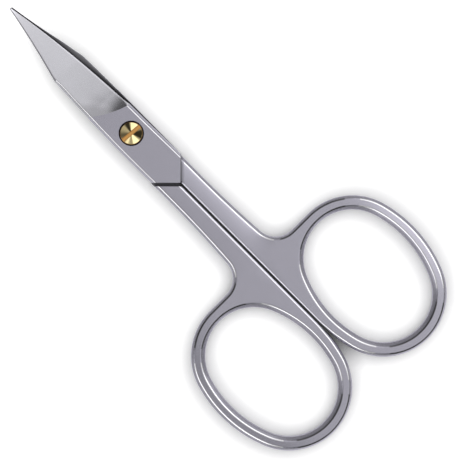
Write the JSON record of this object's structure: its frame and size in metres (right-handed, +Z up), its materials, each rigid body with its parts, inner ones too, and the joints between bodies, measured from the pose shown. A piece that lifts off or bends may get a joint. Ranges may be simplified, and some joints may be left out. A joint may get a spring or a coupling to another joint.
{
  "type": "nail scissors",
  "caption": "Steel nail scissors with tower-point curved blades, oval finger rings and a slotted brass-coloured pivot screw.",
  "frame": {"origin": "on the pivot axis at the flat underside of the back half's joint plate, on which the closed scissors rest", "axes": "+X from the pivot to the blade tips, +Y to the side of the back half's finger ring, +Z up along the pivot axis towards the screw head and the front half"},
  "size_m": [0.09, 0.0462, 0.0047],
  "materials": {
    "front_steel": "satin",
    "back_steel": "satin",
    "screw_brass": "turned"
  },
  "bodies": {
    "back": {"back_half": "back_steel", "pivot_screw": "screw_brass"},
    "front": {"front_half": "front_steel"}
  },
  "joints": [
    {"name": "pivot", "type": "hinge", "parent": "back", "child": "front", "pos_m": [0, 0, 0.00175], "axis": [0, 0, 1], "range_deg": [0, 130]}
  ]
}
